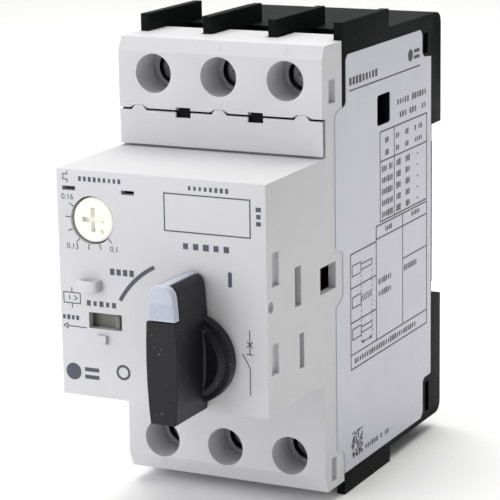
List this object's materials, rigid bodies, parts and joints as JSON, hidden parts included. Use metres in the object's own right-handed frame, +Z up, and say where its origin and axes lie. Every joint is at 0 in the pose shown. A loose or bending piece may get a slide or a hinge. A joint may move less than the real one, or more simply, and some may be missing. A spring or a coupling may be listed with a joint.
{
  "type": "motor protection breaker",
  "caption": "Rail-mounted motor protection breaker with turning handle, lock tab, setting dial, test slider and screw terminals top and bottom.",
  "frame": {"origin": "middle of the rail seat: the plane of the rail's face, half way across the width, on the rail's centre line", "axes": "+Z up, +Y backwards into the rail, so the front plate with the handle faces -Y, +X to the viewer's right"},
  "size_m": [0.0449, 0.1008, 0.0967],
  "materials": {
    "black_plastic": "fine moulded grain, satin",
    "pale_plastic": "fine moulded grain, satin",
    "label_film": "glossy polyester film",
    "knob_plastic": "moulded, slightly worn",
    "tab_plastic": "moulded with fine grip lines",
    "dial_plastic": "smooth white moulding",
    "slider_plastic": "olive grey moulding",
    "print_ink": "dark blue-grey pad print",
    "label_ink": "black label print",
    "inner_plastic": "dark thermoset",
    "zinc_steel": "zinc plated",
    "spring_steel": "drawn wire",
    "copper": "bare copper",
    "brass": "bare brass"
  },
  "bodies": {
    "casing": {"rear_housing": "black_plastic", "front_housing": "pale_plastic", "side_label": "label_film", "accessory_socket": "black_plastic", "test_return_spring": "spring_steel", "mechanism_frame": "zinc_steel", "rail_latch_spring": "spring_steel", "line_terminal_1": "copper", "load_terminal_1": "copper", "line_arc_chute_1": "zinc_steel", "load_arc_chute_1": "zinc_steel", "magnet_coil_1": "copper", "bimetal_strip_1": "brass", "line_terminal_2": "copper", "load_terminal_2": "copper", "line_arc_chute_2": "zinc_steel", "load_arc_chute_2": "zinc_steel", "magnet_coil_2": "copper", "bimetal_strip_2": "brass", "line_terminal_3": "copper", "load_terminal_3": "copper", "line_arc_chute_3": "zinc_steel", "load_arc_chute_3": "zinc_steel", "magnet_coil_3": "copper", "bimetal_strip_3": "brass"},
    "handle": {"knob": "knob_plastic", "knob_shaft": "zinc_steel"},
    "lock_tab": {"knob_lock_tab": "tab_plastic"},
    "dial": {"setting_dial": "dial_plastic", "setting_cam": "inner_plastic"},
    "test_slide": {"test_slider": "slider_plastic"},
    "trip_slide": {"trip_bar": "inner_plastic"},
    "cover": {"slot_cover": "pale_plastic"},
    "latch": {"rail_latch": "black_plastic"},
    "carrier": {"contact_carrier": "inner_plastic", "contact_bridge_1": "copper", "contact_bridge_2": "copper", "contact_bridge_3": "copper", "contact_spring_1": "spring_steel", "contact_spring_2": "spring_steel", "contact_spring_3": "spring_steel"},
    "plunger_1": {"magnet_plunger_1": "zinc_steel"},
    "line_clamping_1": {"line_screw_1": "zinc_steel", "line_clamp_1": "zinc_steel"},
    "load_clamping_1": {"load_screw_1": "zinc_steel", "load_clamp_1": "zinc_steel"},
    "plunger_2": {"magnet_plunger_2": "zinc_steel"},
    "line_clamping_2": {"line_screw_2": "zinc_steel", "line_clamp_2": "zinc_steel"},
    "load_clamping_2": {"load_screw_2": "zinc_steel", "load_clamp_2": "zinc_steel"},
    "plunger_3": {"magnet_plunger_3": "zinc_steel"},
    "line_clamping_3": {"line_screw_3": "zinc_steel", "line_clamp_3": "zinc_steel"},
    "load_clamping_3": {"load_screw_3": "zinc_steel", "load_clamp_3": "zinc_steel"}
  },
  "joints": [
    {"name": "handle_turn", "type": "hinge", "parent": "casing", "child": "handle", "pos_m": [0.0071, -0.0823, -0.0129], "axis": [0, -1, 0], "range_deg": [0, 90]},
    {"name": "lock_tab_pull", "type": "slide", "parent": "handle", "child": "lock_tab", "axis": [0, 0, 1], "range_m": [0, 0.0058]},
    {"name": "dial_turn", "type": "hinge", "parent": "casing", "child": "dial", "pos_m": [-0.0147, -0.0819, 0.0117], "axis": [0, 1, 0], "range_deg": [0, 180]},
    {"name": "test_push", "type": "slide", "parent": "casing", "child": "test_slide", "axis": [-1, 0, 0], "range_m": [0, 0.0025], "stiffness_N_per_m": 200, "deforming": ["test_return_spring"]},
    {"name": "trip_bar_slide", "type": "slide", "parent": "casing", "child": "trip_slide", "axis": [-1, 0, 0], "range_m": [0, 0.0025]},
    {"name": "cover_pull", "type": "slide", "parent": "casing", "child": "cover", "axis": [0, -1, 0], "range_m": [0, 0.015]},
    {"name": "latch_pull", "type": "slide", "parent": "casing", "child": "latch", "axis": [0, 0, -1], "range_m": [0, 0.0035], "stiffness_N_per_m": 900, "springref_m": -0.002, "deforming": ["rail_latch_spring"]},
    {"name": "carrier_lift", "type": "slide", "parent": "casing", "child": "carrier", "axis": [0, -1, 0], "range_m": [0, 0.004]},
    {"name": "plunger_strike_1", "type": "slide", "parent": "casing", "child": "plunger_1", "axis": [0, -1, 0], "range_m": [0, 0.001], "stiffness_N_per_m": 150, "springref_m": -0.0005},
    {"name": "line_screw_drive_1", "type": "slide", "parent": "casing", "child": "line_clamping_1", "axis": [0, 1, 0], "range_m": [0, 0.0045]},
    {"name": "load_screw_drive_1", "type": "slide", "parent": "casing", "child": "load_clamping_1", "axis": [0, 1, 0], "range_m": [0, 0.0045]},
    {"name": "plunger_strike_2", "type": "slide", "parent": "casing", "child": "plunger_2", "axis": [0, -1, 0], "range_m": [0, 0.001], "stiffness_N_per_m": 150, "springref_m": -0.0005},
    {"name": "line_screw_drive_2", "type": "slide", "parent": "casing", "child": "line_clamping_2", "axis": [0, 1, 0], "range_m": [0, 0.0045]},
    {"name": "load_screw_drive_2", "type": "slide", "parent": "casing", "child": "load_clamping_2", "axis": [0, 1, 0], "range_m": [0, 0.0045]},
    {"name": "plunger_strike_3", "type": "slide", "parent": "casing", "child": "plunger_3", "axis": [0, -1, 0], "range_m": [0, 0.001], "stiffness_N_per_m": 150, "springref_m": -0.0005},
    {"name": "line_screw_drive_3", "type": "slide", "parent": "casing", "child": "line_clamping_3", "axis": [0, 1, 0], "range_m": [0, 0.0045]},
    {"name": "load_screw_drive_3", "type": "slide", "parent": "casing", "child": "load_clamping_3", "axis": [0, 1, 0], "range_m": [0, 0.0045]}
  ],
  "couplings": [
    {"joint": "trip_bar_slide", "follows": "test_push", "ratio": 1},
    {"joint": "carrier_lift", "follows": "handle_turn", "m_per_rad": 0.00254}
  ]
}
